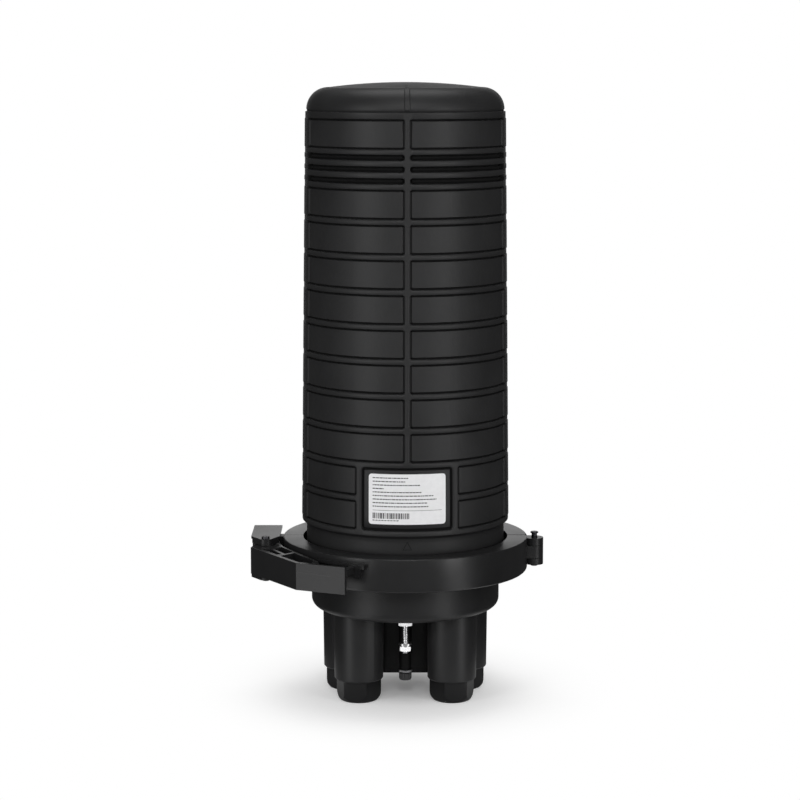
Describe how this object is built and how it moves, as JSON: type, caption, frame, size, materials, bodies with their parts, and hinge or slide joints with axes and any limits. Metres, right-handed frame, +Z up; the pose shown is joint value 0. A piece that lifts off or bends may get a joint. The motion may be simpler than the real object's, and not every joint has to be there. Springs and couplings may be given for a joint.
{
  "type": "dome splice closure",
  "caption": "Tall ribbed dome closure for spliced fibre cables, on a cup base with downward cable ports, held by a split clamp ring with a hinge and a toggle latch.",
  "frame": {"origin": "on the closure's axis, on the surface that its gland nuts stand on", "axes": "+Z up along the dome, -Y towards the labelled front, +X towards the clamp ring's hinge"},
  "size_m": [0.2208, 0.1975, 0.4612],
  "materials": {
    "dome_plastic": "fine moulded grain",
    "black_plastic": "satin moulded",
    "latch_plastic": "satin moulded",
    "black_pin": "black coated",
    "steel": "bright",
    "sheet_steel": "zinc plated",
    "rubber": "dull",
    "valve_cap": "knurled",
    "label_film": "printed film, fields only",
    "tray_blue": "moulded",
    "tray_black": "moulded",
    "clear_cover": "clear",
    "strap_fabric": "woven"
  },
  "bodies": {
    "closure": {"dome_cover": "dome_plastic", "label": "label_film", "clamp_half_rear": "black_plastic", "hinge_pin": "black_pin", "base_body": "black_plastic", "dome_seal_ring": "rubber", "gland_nut_1": "black_plastic", "gland_nut_2": "black_plastic", "gland_nut_3": "black_plastic", "gland_nut_4": "black_plastic", "cable_grommet_1": "rubber", "cable_grommet_2": "rubber", "cable_grommet_3": "rubber", "cable_grommet_4": "rubber", "oval_seal_block": "rubber", "oval_port_plugs": "black_plastic", "oval_press_plate": "black_plastic", "oval_plate_screws": "steel", "test_valve_body": "rubber", "test_valve_nut": "steel", "test_valve_cap": "valve_cap", "earth_stud": "steel", "earth_collar": "steel", "earth_spring_washer": "steel", "earth_washer": "steel", "earth_nut": "steel", "earth_inner_nut": "steel", "tray_bracket": "sheet_steel", "bracket_screws": "steel", "fibre_basket": "tray_black", "basket_rivets": "steel", "tray_comb": "tray_black", "splice_tray_1": "tray_blue", "splice_tray_2": "tray_blue", "splice_tray_3": "tray_blue", "splice_tray_4": "tray_blue", "splice_tray_5": "tray_blue", "splice_tray_6": "tray_blue", "tray_hinge_pins": "steel", "tray_cover": "clear_cover", "tray_strap": "strap_fabric", "strength_clamps": "sheet_steel", "strength_clamp_screws": "steel"},
    "front_clamp": {"clamp_half_front": "black_plastic"},
    "lever": {"latch_lever": "latch_plastic", "lever_pin": "steel"},
    "link": {"latch_link": "latch_plastic", "link_pin": "black_pin"}
  },
  "joints": [
    {"name": "clamp_hinge", "type": "hinge", "parent": "closure", "child": "front_clamp", "pos_m": [0.098, 0, 0.108], "axis": [0, 0, 1], "range_deg": [0, 110]},
    {"name": "lever_pivot", "type": "hinge", "parent": "front_clamp", "child": "lever", "pos_m": [-0.103, -0.012, 0.108], "axis": [0, 0, -1], "range_deg": [0, 120]},
    {"name": "link_pivot", "type": "hinge", "parent": "lever", "child": "link", "pos_m": [-0.1047, -0.024, 0.108], "axis": [0, 0, 1], "range_deg": [0, 120]}
  ],
  "couplings": [
    {"joint": "link_pivot", "follows": "lever_pivot", "ratio": 1}
  ]
}
